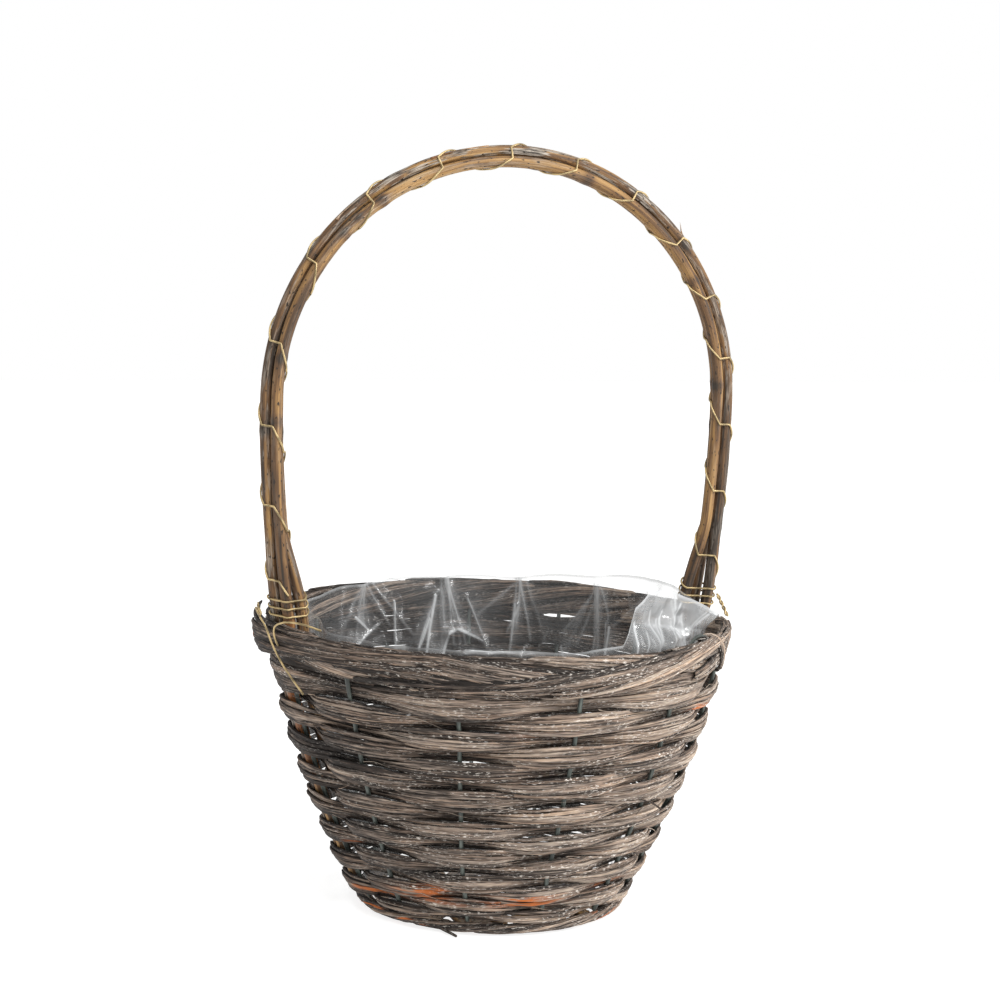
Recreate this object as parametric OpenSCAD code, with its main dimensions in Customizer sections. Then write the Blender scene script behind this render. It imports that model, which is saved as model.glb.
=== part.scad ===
// Woven market basket: a round bark-strip basket on thin wire uprights, with a tall
// arched handle of three rods bound with wire, and a clear film liner inside.
// The handle stands in the XZ plane, and the basket stands on z = 0.

/* [Basket] */
// Outside diameter of the wall at its top
rim_d = 220; // [180:1:265]
// Outside diameter of the foot
foot_d = 124; // [110:1:155]
// Height of the basket without its handle
basket_h = 138; // [110:1:160]
// How far the wall bows outward between foot and rim
wall_bow = 6.5; // [0:0.5:9]

/* [Weave] */
// Number of woven rows in the wall
row_count = 16; // [8:1:16]
// How much taller the top rows are than the bottom rows, as a share of the mean
row_growth = 0.25; // [0:0.05:0.6]
// Thickness of a bark strip
strip_t = 2; // [1.2:0.1:2.4]
// Clearance between neighbouring pieces
gap = 0.3; // [0.2:0.05:0.5]

/* [Uprights] */
// Diameter of the wire uprights
stake_d = 2.2; // [1.2:0.1:2.8]

/* [Handle] */
// Height of the top of the handle's rods above the table
total_h = 356; // [300:1:425]
// How far each leg leans out past the rim at its widest
handle_flare = 8.5; // [4:0.5:20]
// Diameter of each handle rod
rod_d = 5.4; // [4:0.1:6.6]
// Turns of the binding wire over the arch
wire_turns = 15; // [8:1:24]
// Diameter of the binding wire
wire_d = 1; // [0.6:0.1:1.4]

/* [Rim] */
// Height of the rim border
border_h = 18; // [13:0.5:22]

/* [Base] */
// Number of sticks across the bottom
stick_count = 7; // [5:2:9]
// Number of strips woven across the sticks
weaver_count = 7; // [5:2:9]

/* [Liner] */
// Thickness of the film with its folds
film_t = 0.8; // [0.5:0.1:1.5]
// How far the film stands above the rim
film_rise = 9; // [4:1:16]

/* [Hidden] */
row_names = [for (k = [1:row_count]) str("weave_row_", k)];
stick_names = [for (k = [1:stick_count]) str("base_stick_", k)];
weaver_names = [for (k = [1:weaver_count]) str("base_weaver_", k)];

bark = "#8B7D70";
bark_light = "#9C8D7E";
rod_brown = "#97754A";
wire_gold = "#B79D6E";
slate = "#4E544F";

rim_r = rim_d / 2;
foot_r = foot_d / 2;
stake_r = stake_d / 2;
rod_r = rod_d / 2;
wire_r = wire_d / 2;
foot_h = 7;
weave_half = stake_r + gap + strip_t;

// Outside radius of the wall at height z, and the radius the uprights stand at
function wall_r(z) = let (u = z / basket_h)
    foot_r + (rim_r - foot_r) * u + 4 * wall_bow * u * (1 - u);
function mid_r(z) = wall_r(z) - weave_half;
function lean(z) = (wall_r(z + 1) - wall_r(z - 1)) / 2;
// A point at angle a, radius r and height z
function around(a, r, z) = [r * cos(a), r * sin(a), z];
// 0 below lo, 1 above hi, and smooth between
function ease(x, lo, hi) = let (s = max(0, min(1, (x - lo) / (hi - lo)))) s * s * (3 - 2 * s);

// Uprights: six bays in the front half and seven in the back half make an odd count, so
// the over-and-under pattern swaps from each turn to the next. 0 and back_bays are the legs.
front_bays = 6;
back_bays = 7;
bays = front_bays + back_bays;
function bay(t) = t - bays * floor(t / bays);
function upright_angle(t) = let (u = bay(t))
    u < back_bays ? 180 * u / back_bays : 180 + 180 * (u - back_bays) / front_bays;

// The border's and the rows' heights
band_z = basket_h - border_h;
roll_h = 2 * strip_t;
weave_bottom = foot_h + gap;
weave_top = band_z - gap;
function row_z(u) = let (s = max(0, min(1, u / row_count)))
    weave_bottom + (weave_top - weave_bottom) * ((1 - row_growth / 2) * s + row_growth / 2 * s * s);

// How far a strip swings to each side of the uprights, and of the handle's legs
strip_swing = stake_r + gap + strip_t / 2;
leg_swing = rod_r + 3 * gap + strip_t / 2;
function near_leg(t) = let (u = bay(t)) min(u, bays - u, abs(u - back_bays));
function swing(t) = let (c = cos(180 * t), wide = 1 - ease(near_leg(t), 0.3, 1))
    (strip_swing + (leg_swing - strip_swing) * wide) * max(-1, min(1, 1.5 * c));

// A closed solid through rings of points that all have the same number of points
module skin(rings, closed = false) {
    n = len(rings[0]);
    m = len(rings);
    sides = [for (j = [0:m - (closed ? 1 : 2)]) for (i = [0:n - 1])
        let (a = j * n + i, b = j * n + (i + 1) % n, c = ((j + 1) % m) * n + i,
             d = ((j + 1) % m) * n + (i + 1) % n)
        each [[a, b, c], [b, d, c]]];
    ends = closed ? [] : [[for (i = [n - 1:-1:0]) i], [for (i = [0:n - 1]) (m - 1) * n + i]];
    polyhedron(points = [for (r = rings) each r], faces = concat(sides, ends), convexity = 12);
}
// A round tube along a path, with its sides kept square to the XZ plane's Y axis
function cross_unit(a, b) = let (c = cross(a, b)) c / norm(c);
module tube(path, r, sides) {
    m = len(path);
    skin([for (j = [0:m - 1])
        let (d = path[min(m - 1, j + 1)] - path[max(0, j - 1)], t = d / norm(d),
             ref = abs(t[1]) < 0.9 ? [0, 1, 0] : [0, 0, 1], u = cross_unit(ref, t), v = cross(t, u))
        [for (i = [sides - 1:-1:0]) path[j] + r * (cos(360 * i / sides) * u + sin(360 * i / sides) * v)]]);
}
// The six-sided section of a strip: half height h, half thickness w, leaning with the wall
function strip_section(a, r, z, h, w) = let (slope = lean(z), soft = min(w, h) / 2)
    [for (q = [[w, soft - h], [w, h - soft], [0, h], [-w, h - soft], [-w, soft - h], [0, -h]])
        around(a, r + q[0] + slope * q[1], z + q[1])];

// Height of the joint that lies above the weave at t, and of the one below it
function seam(t) = t < 0 ? weave_bottom
    : max(weave_bottom + thin_start, row_z(t / bays));
// One row: a strip one turn long that climbs by one row height as it goes round
steps = 4;
end_gap = 0.02;
thin_start = 1.6;
module weave_row(k) {
    first = (k - 1) * bays + 0.5;
    stations = concat([first + end_gap], [for (i = [1:steps * bays - 1]) first + i / steps],
        [first + bays - end_gap]);
    color(bark) skin([for (t = stations)
        let (low = seam(t - bays), high = seam(t), z = (low + high) / 2)
        strip_section(upright_angle(t), mid_r(z) + swing(t), z, (high - low - gap) / 2,
            strip_t / 2)]);
}

// The thick bottom row: a ring with a flat underside
foot_in = foot_r - 2 * weave_half;
module foot_border() {
    color(bark) rotate_extrude($fn = 120) polygon([[foot_in, 0], [foot_r, 0],
        [wall_r(foot_h), foot_h * 0.6], [wall_r(foot_h) - gap, foot_h], [foot_in, foot_h]]);
}

// Base: sticks along Y with strips woven over and under them along X
stick_t = 2;
weaver_t = 1.4;
base_z = foot_h / 2;
base_r = foot_in - gap;
stick_pitch = 2 * base_r / (stick_count + 0.6);
weaver_pitch = 2 * base_r / (weaver_count + 0.6);
module base_stick(k) {
    x = (k - (stick_count + 1) / 2) * stick_pitch;
    half_w = stick_pitch / 4;
    half_l = sqrt(base_r * base_r - pow(abs(x) + half_w, 2));
    color(rod_brown) translate([x, 0, base_z])
        cube([2 * half_w, 2 * half_l, stick_t], center = true);
}
weaver_swing = (stick_t + weaver_t) / 2 + gap;
module base_weaver(k) {
    y = (k - (weaver_count + 1) / 2) * weaver_pitch;
    half_w = weaver_pitch / 2 - gap;
    reach = sqrt(base_r * base_r - pow(abs(y) + half_w, 2)) / stick_pitch;
    last = ceil(4 * reach) - 1;
    color(bark) skin([for (s = concat([-reach], [for (i = [-last:last]) i / 4], [reach]))
        let (c = cos(180 * (s + (stick_count + 1) / 2 + k)),
             z = base_z + weaver_swing * max(-1, min(1, 1.5 * c)))
        [for (q = [[-1, -1], [-1, 1], [1, 1], [1, -1]])
            [s * stick_pitch, y + q[0] * half_w, z + q[1] * weaver_t / 2]]]);
}

// Uprights: the ones at the legs stand beside the rods
stake_top = basket_h - roll_h - gap;
stake_levels = 6;
leg_side = rod_d + stake_r + 2 * gap;
module stakes() {
    color(slate) for (s = [0:bays - 1]) {
        at_leg = s == 0 || s == back_bays;
        skin([for (j = [0:stake_levels])
            let (z = weave_bottom + (stake_top - weave_bottom) * j / stake_levels,
                 shift = at_leg ? asin(leg_side / mid_r(z)) : 0)
            [for (i = [5:-1:0]) around(upright_angle(s) + shift, mid_r(z), z)
                + stake_r * [cos(60 * i), sin(60 * i), 0]]]);
    }
}

// Handle: the legs come up inside the wall, spread a little at the rim, and gather into a
// three-rod bundle that makes one slow part-turn over the arch
bundle_r = (rod_d + gap) / sqrt(3);
bundle_out = bundle_r + rod_r;
rim_inset = 4;
rim_x = mid_r(basket_h) - rim_inset;
arch_r = rim_x + handle_flare;
arch_z = total_h - bundle_out - arch_r;
bundle_twist = -60;
gather_low = 6;
gather_high = 45;
leg_rings = 7;
reach_rings = 8;
arch_rings = 22;
// Distance of the bundle's middle from the Z axis on a leg at height z
function leg_x(z) = z < basket_h ? mid_r(z) - rim_inset * ease(z, band_z, basket_h)
    : arch_r - (arch_r - rim_x) * pow((arch_z - z) / (arch_z - basket_h), 2);
// Rod offsets [outward, along Y] in the wall and at the rim, for each leg: the rods are
// listed as front, outer, inner
pair = rod_r + gap / 2;
inside = leg_swing + strip_t / 2 + 2 * gap + rod_r;
in_wall = [[[0, -pair], [0, pair], [-inside, 0]], [[-inside, 0], [0, -pair], [0, pair]]];
splay = rod_d * 1.25;
at_rim = [[[0, -splay / 2], [splay / 2, splay / 2], [-splay, -splay / 5]],
    [[-splay, 0], [splay / 2, -splay / 2], [0, splay / 2]]];
leg_low = [[18, 24, 60], [60, 20, 28]];
// Share of the way along the arch, from 0 on the left leg to 1 on the right leg
function along(side, z, turn) = let (leg = arch_z - basket_h, whole = 2 * leg + PI * arch_r)
    turn < 0 ? (side < 0 ? z - basket_h : whole - (z - basket_h)) / whole
    : (leg + PI * arch_r * turn / 180) / whole;
function rod_phase(rod) = [-90, 30, 150][rod];
function bundle_offset(rod, s) = let (p = rod_phase(rod) + bundle_twist * s)
    bundle_r * [cos(p), sin(p)];
function leg_offset(side, rod, z) = let (leg = side < 0 ? 0 : 1,
    free = bundle_offset(rod, along(side, z, -1)), spread = 1 - ease(z, basket_h + gather_low, basket_h + gather_high),
    sunk = 1 - ease(z, band_z, basket_h + 2), rim = at_rim[leg][rod], wall = in_wall[leg][rod])
    free * (1 - spread) + (rim * (1 - sunk) + wall * sunk) * spread;
function leg_point(side, rod, z) = let (o = leg_offset(side, rod, z))
    [side * (leg_x(z) + o[0]), o[1], z];
function arch_point(o, turn) = [-(arch_r + o[0]) * cos(turn), o[1],
    arch_z + (arch_r + o[0]) * sin(turn)];
function leg_heights(low) = concat([for (j = [0:leg_rings - 1]) low + (basket_h - low) * j / leg_rings],
    [for (j = [0:reach_rings - 1]) basket_h + (arch_z - basket_h) * j / reach_rings]);
function rod_path(rod) = concat(
    [for (z = leg_heights(leg_low[0][rod])) leg_point(-1, rod, z)],
    [for (j = [0:arch_rings]) let (turn = 180 * j / arch_rings)
        arch_point(bundle_offset(rod, along(0, 0, turn)), turn)],
    [let (h = leg_heights(leg_low[1][rod])) for (j = [len(h) - 1:-1:0]) leg_point(1, rod, h[j])]);
module handle_rod(rod) { color(rod_brown) tube(rod_path(rod), rod_r, 8); }

// Binding wire: a coil round the bundle from just above one tie to just above the other
coil_r = bundle_out + 2 * gap + wire_r;
coil_low = basket_h + gather_high + wire_d;
coil_rings = 8;
module handle_binding_wire() {
    leg = arch_z - coil_low;
    whole = 2 * leg + PI * arch_r;
    color(wire_gold) tube([for (j = [0:wire_turns * coil_rings])
        let (s = whole * j / (wire_turns * coil_rings), p = 360 * j / coil_rings,
             o = coil_r * [cos(p), sin(p)])
        s < leg ? [-(leg_x(coil_low + s) + o[0]), o[1], coil_low + s]
        : s > whole - leg ? [leg_x(coil_low + whole - s) + o[0], o[1], coil_low + whole - s]
        : arch_point(o, (s - leg) / arch_r * 180 / PI)], wire_r, 5);
}

// Ties: two turns of wire round the spread rods just above the rim
tie_a = splay * 1.25 + rod_r / 2 + gap;
tie_b = splay * 1.1 + rod_r / 2 + gap;
tie_turns = 2;
tie_lift = 2;
module handle_tie(side) {
    n = 12 * tie_turns;
    color(wire_gold) tube([for (j = [0:n])
        let (p = 360 * j / 12, z = basket_h + tie_lift + 4 * tie_turns * j / n)
        [side * (leg_x(z) - splay / 4 + tie_a * cos(p)), tie_b * sin(p), z]], wire_r, 5);
}

// Rim: an outer band that bulges round the legs, and two inner bands and two rolls that
// stop short of them
leg_clear = asin((tie_b + rod_d) / rim_x);
leg_near = leg_clear + 1;
leg_far = leg_near + 14;
function off_leg(a) = let (b = a - 180 * floor(a / 180)) min(b, 180 - b);
bulge = splay / 2 + rod_r - stake_r + gap;
band_top = basket_h - roll_h - gap;
module rim_outer_band() {
    color(bark) skin([for (a = [0:5:355])
        let (r0 = stake_r + gap + bulge * (1 - ease(off_leg(a), leg_near, leg_far)))
        [for (q = [[0, band_z], [strip_t, band_z], [strip_t, band_top], [0, band_top]])
            around(a, mid_r(q[1]) + r0 + q[0], q[1])]], closed = true);
}
module rim_inner_band(start) {
    n = 30;
    color(bark) skin([for (j = [0:n])
        let (a = start + leg_clear + (180 - 2 * leg_clear) * j / n, r0 = -stake_r - gap - strip_t)
        [for (q = [[0, band_z], [strip_t, band_z], [strip_t, band_top], [0, band_top]])
            around(a, mid_r(q[1]) + r0 + q[0], q[1])]]);
}
module rim_roll(start) {
    n = 26;
    half_w = weave_half;
    color(bark_light) skin([for (j = [0:n])
        let (a = start + leg_clear + (180 - 2 * leg_clear) * j / n)
        [for (i = [0:5]) around(a, mid_r(basket_h) + half_w * cos(60 * i),
            basket_h - roll_h / 2 + roll_h / 2 * sin(60 * i))]]);
}

// Liner: an open bag of film that stands inside the weave and is pressed in at the legs
liner_low = foot_h + gap;
liner_top = basket_h + film_rise;
liner_levels = 5;
press_low = 25;
press_high = 55;
press = max(inside + rod_r, splay / 4 + tie_a + wire_r) + gap;
function liner_r(a, z) = let (near = 1 - ease(off_leg(a), leg_near, leg_far), free = leg_swing + strip_t / 2 + gap)
    mid_r(min(z, basket_h)) - free - (press - free + rim_inset) * near * ease(z, press_low, press_high);
module liner() {
    function ring(z, inset) = [for (a = [352.5:-7.5:0]) around(a, liner_r(a, z) - inset, z)];
    function level(j) = liner_low + (liner_top - liner_low) * j / liner_levels;
    color("#DCE4E8", 0.5) skin(concat([for (j = [0:liner_levels]) ring(level(j), 0)],
        [for (j = [liner_levels:-1:1]) ring(level(j), film_t)], [ring(liner_low + film_t, film_t)]));
}

for (k = [1:stick_count]) base_stick(k);
for (k = [1:weaver_count]) base_weaver(k);
foot_border();
stakes();
for (k = [1:row_count]) weave_row(k);
rim_outer_band();
rim_inner_band(180);  // rim_inner_band_front
rim_inner_band(0);  // rim_inner_band_back
rim_roll(180);  // rim_roll_front
rim_roll(0);  // rim_roll_back
handle_rod(0);  // handle_rod_front
handle_rod(1);  // handle_rod_outer
handle_rod(2);  // handle_rod_inner
handle_binding_wire();
handle_tie(-1);  // handle_tie_left
handle_tie(1);  // handle_tie_right
liner();
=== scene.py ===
"""Woven market basket: bark rows on wire uprights, a bound three-rod handle and a film liner.

Lengths inside the shape functions are in millimetres. X runs through the two handle legs,
Z is up, and the basket stands on z = 0.
"""

import bpy
import numpy as np
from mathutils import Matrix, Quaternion, Vector


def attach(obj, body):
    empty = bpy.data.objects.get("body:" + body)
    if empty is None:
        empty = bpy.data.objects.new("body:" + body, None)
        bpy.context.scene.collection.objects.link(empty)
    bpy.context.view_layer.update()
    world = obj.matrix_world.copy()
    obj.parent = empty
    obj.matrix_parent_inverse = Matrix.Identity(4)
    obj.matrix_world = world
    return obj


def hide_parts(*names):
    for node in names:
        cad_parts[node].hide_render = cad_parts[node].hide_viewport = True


bl_info = {
    "name": "Woven market basket",
    "version": (1, 0, 0),
    "blender": (4, 5, 0),
    "location": "3D View > Sidebar > Basket",
    "description": "Makes a bark-strip basket with a bound handle and a film liner",
    "category": "Object",
}

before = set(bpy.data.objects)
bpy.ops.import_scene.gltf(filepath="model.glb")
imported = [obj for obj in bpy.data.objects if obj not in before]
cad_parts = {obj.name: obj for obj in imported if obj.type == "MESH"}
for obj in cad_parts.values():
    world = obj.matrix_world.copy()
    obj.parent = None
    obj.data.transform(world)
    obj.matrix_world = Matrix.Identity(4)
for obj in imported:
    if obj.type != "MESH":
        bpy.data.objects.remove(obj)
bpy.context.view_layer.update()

TAU = 2 * np.pi
FRONT_BAYS, BACK_BAYS = 6, 7
BAYS = FRONT_BAYS + BACK_BAYS
ROWS = 16
FOOT_H = 7.0
GAP = 0.3
RIM_INSET = 4.0
# Turns of the binding wire, and the strength of the white world's light
WIRE_TURNS = 15.3
AMBIENT = 0.6
# Arc length for one radian of the wall, and length of a bundle, that random curves run over
WALL_ARC = 90
BUNDLE_RUN = 90


# ---------------------------------------------------------------- settings


def length(name, text, mm, low, high):
    """A length property, shown in the scene's unit."""
    return bpy.props.FloatProperty(
        name=name, description=text, default=mm / 1000, min=low / 1000, max=high / 1000,
        subtype="DISTANCE", unit="LENGTH", precision=4)


def linear(text):
    """A linear RGB triple from an sRGB hex colour such as #8B7D70."""
    c = np.array([int(text[i:i + 2], 16) for i in (1, 3, 5)]) / 255
    return tuple(np.where(c <= 0.04045, c / 12.92, ((c + 0.055) / 1.055) ** 2.4).tolist())


def colour(name, text, default):
    """A colour property that starts from an sRGB hex value."""
    return bpy.props.FloatVectorProperty(
        name=name, description=text, default=linear(default), min=0, max=1, size=3, subtype="COLOR")


class BasketSizes(bpy.types.PropertyGroup):
    """The sizes of the basket and its handle"""

    rim_radius: length("Rim radius", "Outside radius of the wall at its top", 110, 90, 132)
    foot_radius: length("Foot radius", "Outside radius of the foot", 62, 55, 78)
    basket_height: length("Basket height", "Height of the basket without its handle", 138, 110, 160)
    wall_bow: length("Wall bow", "How far the wall bows outward", 6.5, 0, 9)
    border_height: length("Border height", "Height of the rim border", 18, 13, 22)
    strip_thickness: length("Strip thickness", "Thickness of a woven band", 2, 1.2, 2.4)
    upright_thickness: length("Upright thickness", "Diameter of the wire uprights", 2.2, 1.2, 2.8)
    total_height: length("Total height", "Height of the top of the handle's rods", 356, 300, 425)
    handle_flare: length("Handle flare", "How far each leg leans out past the rim", 8.5, 4, 20)
    rod_thickness: length("Rod thickness", "Diameter of each handle rod", 5.4, 4, 6.6)
    wire_thickness: length("Wire thickness", "Diameter of the binding wire", 1, 0.6, 1.4)


class BasketColours(bpy.types.PropertyGroup):
    """The colours of the bark, rods, wire and uprights"""

    bark_dark: colour("Bark, dark", "Grooves between the fibres", "#3E3630")
    bark_mid: colour("Bark, middle", "Most of the bark", "#84766A")
    bark_light: colour("Bark, light", "Raised, bleached fibres", "#B3A391")
    bark_bare: colour("Bark, bare", "Patches where the grey skin is off", "#B8652F")
    bark_fleck: colour("Bark, flecks", "Pale flecks in the grain", "#E2DAD0")
    rod_tan: colour("Rod, tan", "Peeled wood of the handle", "#A07B4A")
    rod_brown: colour("Rod, brown", "Darker streaks of the handle", "#66492D")
    wire_gold: colour("Wire", "Binding wire", "#C4AC7C")
    upright_slate: colour("Uprights", "Coated wire of the uprights", "#4E544F")


def sizes():
    return bpy.context.scene.basket_sizes


def colours():
    return bpy.context.scene.basket_colours


# ---------------------------------------------------------------- shape of the basket


def mm(name):
    """One of the basket's sizes in millimetres."""
    return getattr(sizes(), name) * 1000


def wall_r(z):
    """Outside radius at height z: a straight cone plus a parabola that bows it outward."""
    u = z / mm("basket_height")
    return mm("foot_radius") + (mm("rim_radius") - mm("foot_radius")) * u + 4 * mm("wall_bow") * u * (1 - u)


def mid_r(z):
    """Radius of the uprights, in the middle of the weave."""
    return wall_r(z) - mm("upright_thickness") / 2 - GAP - mm("strip_thickness")


def ease(x, low, high):
    """0 below low, 1 above high, and a smooth S between."""
    s = np.clip((x - low) / (high - low), 0, 1)
    return s * s * (3 - 2 * s)


def upright_angle(t):
    """Angle of place t round the basket: whole numbers are uprights, 0 and 7 are the legs."""
    u = np.mod(t, BAYS)
    return np.where(u < BACK_BAYS, np.pi * u / BACK_BAYS, np.pi + np.pi * (u - BACK_BAYS) / FRONT_BAYS)


def seam(t):
    """Height of the joint above the weave at t: it climbs one row a turn, in growing rows."""
    low, high = FOOT_H + GAP, mm("basket_height") - mm("border_height") - GAP
    s = np.clip(t / BAYS / ROWS, 0, 1)
    return np.where(t < 0, low, np.maximum(low + 1.6, low + (high - low) * (0.875 * s + 0.125 * s * s)))


def swing(t):
    """How far a strip is pushed out (+) or in (-) by the uprights: a flattened cosine."""
    u = np.mod(t, BAYS)
    to_leg = np.minimum(np.minimum(u, BAYS - u), np.abs(u - BACK_BAYS))
    at_upright = mm("upright_thickness") / 2 + mm("strip_thickness") / 2 + GAP
    at_leg = mm("rod_thickness") / 2 + mm("strip_thickness") / 2 + 3 * GAP
    c = np.cos(np.pi * t)
    return (at_leg + (at_upright - at_leg) * ease(to_leg, 0.3, 1)) * c * (1.45 - 0.45 * c * c)


def ring_points(a, r, z):
    """Points at angle a, radius r and height z."""
    a, r, z = np.broadcast_arrays(a, r, z)
    return np.stack([r * np.cos(a), r * np.sin(a), z], -1)


def unit(v):
    return v / np.maximum(np.linalg.norm(v, axis=-1, keepdims=True), 1e-12)


def wander(rng, x, step, columns=1):
    """Smooth random curves over x: random values every step, eased from one to the next."""
    knot = (x - x.min()) / step
    values = rng.normal(size=(int(knot.max()) + 3, columns))
    i = knot.astype(int)
    f = (knot - i)[:, None]
    f = f * f * (3 - 2 * f)
    return values[i] * (1 - f) + values[i + 1] * f


# ---------------------------------------------------------------- meshes


class Surface:
    """Grids of points gathered into one mesh, with a UV map in metres and a tone colour."""

    def __init__(self):
        self.points, self.faces, self.sizes, self.uvs, self.tones = [], [], [], [], []
        self.count = 0

    def sweep(self, rings, uv, tone, loop=False):
        """Skins rings of points (n, m, 3) that are each a closed loop. uv is (n, m + 1, 2)."""
        n, m = rings.shape[:2]
        i, j = np.meshgrid(np.arange(n if loop else n - 1), np.arange(m), indexing="ij")
        k, l = (i + 1) % n, (j + 1) % m
        quads = np.stack([i * m + j, k * m + j, k * m + l, i * m + l], -1).reshape(-1, 4)
        corner = np.stack([uv[i, j], uv[k, j], uv[k, j + 1], uv[i, j + 1]], 2).reshape(-1, 2)
        self.faces.append(quads.ravel() + self.count)
        self.sizes.append(np.full(len(quads), 4))
        self.uvs.append(corner)
        if not loop:
            for ring, order in ((0, np.arange(m)), (n - 1, np.arange(m)[::-1])):
                self.faces.append(ring * m + order + self.count)
                self.sizes.append(np.array([m]))
                self.uvs.append(uv[ring, order])
        self.points.append(rings.reshape(-1, 3))
        self.tones.append(np.broadcast_to(tone, (n, m, 3)).reshape(-1, 3))
        self.count += n * m

    def sheet(self, grid, uv, tone):
        """Skins a round sheet of points (n, m, 3). Its first row is all one point, its middle,
        which becomes a single vertex with a fan of triangles."""
        n, m = grid.shape[:2]
        i, j = np.meshgrid(np.arange(1, n - 1), np.arange(m), indexing="ij")
        k, l = 1 + (i - 1) * m, (j + 1) % m
        quads = np.stack([k + j, k + l, k + m + l, k + m + j], -1).reshape(-1, 4)
        j1, l1 = np.arange(m), (np.arange(m) + 1) % m
        fan = np.stack([np.zeros(m, int), 1 + l1, 1 + j1], -1)
        self.faces += [quads.ravel() + self.count, fan.ravel() + self.count]
        self.sizes += [np.full(len(quads), 4), np.full(m, 3)]
        self.uvs += [np.stack([uv[i, j], uv[i, j + 1], uv[i + 1, j + 1], uv[i + 1, j]], 2).reshape(-1, 2),
                     np.stack([uv[0, j1], uv[1, j1 + 1], uv[1, j1]], 1).reshape(-1, 2)]
        tone = np.broadcast_to(tone, (n, m, 3))
        for parts, values in ((self.points, grid), (self.tones, tone)):
            parts += [values[0, :1], values[1:].reshape(-1, 3)]
        self.count += 1 + (n - 1) * m

    def piece(self, name, material, *replaced, smooth=True, slot=None):
        """Makes the object, in metres, on the body, standing for the nodes it replaces."""
        corners, sizes_ = np.concatenate(self.faces), np.concatenate(self.sizes)
        mesh = bpy.data.meshes.new(name)
        mesh.vertices.add(self.count)
        mesh.vertices.foreach_set("co", (np.concatenate(self.points) / 1000).astype(np.float32).ravel())
        mesh.loops.add(len(corners))
        mesh.loops.foreach_set("vertex_index", corners.astype(np.int32))
        mesh.polygons.add(len(sizes_))
        mesh.polygons.foreach_set("loop_start", (np.cumsum(sizes_) - sizes_).astype(np.int32))
        mesh.polygons.foreach_set("loop_total", sizes_.astype(np.int32))
        mesh.polygons.foreach_set("use_smooth", np.full(len(sizes_), smooth))
        mesh.update(calc_edges=True)
        uv = mesh.uv_layers.new(name="grain")
        uv.data.foreach_set("uv", (np.concatenate(self.uvs) / 1000).astype(np.float32).ravel())
        tone = mesh.attributes.new("tone", "FLOAT_COLOR", "POINT")
        rgba = np.ones((self.count, 4), np.float32)
        rgba[:, :3] = np.concatenate(self.tones)
        tone.data.foreach_set("color", rgba.ravel())
        mesh.validate()
        mesh.materials.append(material)
        piece = bpy.data.objects.new(name, mesh)
        bpy.context.collection.objects.link(piece)
        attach(piece, "root")
        if replaced:
            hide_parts(*replaced)
        return piece


def arc_length(path):
    """Distance along a path of points."""
    return np.concatenate([[0], np.cumsum(np.linalg.norm(np.diff(path, axis=0), axis=1))])


def spline(points, n):
    """A smooth curve of n points through the given ones: cubic pieces whose slope at each
    point is the mean of the slopes of the steps before and after it."""
    p = np.asarray(points, float)
    u = arc_length(p)
    slope = np.gradient(p, u, axis=0)
    t = np.linspace(0, u[-1], n)
    i = np.clip(np.searchsorted(u, t, side="right") - 1, 0, len(p) - 2)
    h = (u[i + 1] - u[i])[:, None]
    f = (t - u[i])[:, None] / h
    return ((1 + 2 * f) * (1 - f) ** 2 * p[i] + f * (1 - f) ** 2 * h * slope[i]
            + f * f * (3 - 2 * f) * p[i + 1] + f * f * (f - 1) * h * slope[i + 1])


def add_strip(surface, rng, path, out, half_w, half_t, tone, across=14, rib=0.12, fray=0.25, ends=2.5,
              tilt=0.16, under=0.2, edge=0.12):
    """A bark strip along a path. Its section is a rounded rectangle, wide across `out`; ribs
    that run along it raise the faces by up to rib, its edges fray, one edge lifts by up to
    tilt, and its ends taper. Its inner face is darker by under, painted shade inside the
    basket, and its edges are darker by edge, painted shade between neighbouring strips."""
    n = len(path)
    s = arc_length(path)
    along = unit(np.gradient(path, axis=0))
    side = unit(np.cross(out, along))
    out = unit(np.cross(along, side))
    p = TAU * (np.arange(across) + 0.5) / across - np.pi / 2
    wide = np.sign(np.sin(p)) * np.abs(np.sin(p)) ** 0.8
    deep = np.sign(np.cos(p)) * np.abs(np.cos(p)) ** 0.45
    taper = np.clip(np.minimum(s, s[-1] - s) / ends + 0.25, 0, 1)[:, None]
    w = half_w[:, None] * wide * taper + fray * wander(rng, s, 7, across) * np.abs(wide) ** 3
    lift = tilt * (rng.normal(0, 0.7) + 0.6 * wander(rng, s, 30)) * wide
    t = half_t * deep * taper + rib * wander(rng, s, 12, across) * np.abs(deep) + lift
    rings = path[:, None] + side[:, None] * w[..., None] + out[:, None] * t[..., None]
    v = np.concatenate([[0], np.cumsum(np.hypot(np.diff(wide, append=wide[0]) * half_w.mean(),
                                                np.diff(deep, append=deep[0]) * half_t))])
    offset = rng.uniform(0, 5000, 2)
    uv = np.stack(np.broadcast_arrays(s[:, None] + offset[0], v + offset[1]), -1)
    shade = np.array(np.broadcast_to(tone, (n, across, 3)))
    # Painted shade: under darkens the inner face, and edge darkens the strip's edges
    shade[..., 0] -= edge * np.abs(wide) ** 4 + under * (deep < 0)
    shade[..., 1] *= deep > 0
    surface.sweep(rings, uv, shade)


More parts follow.
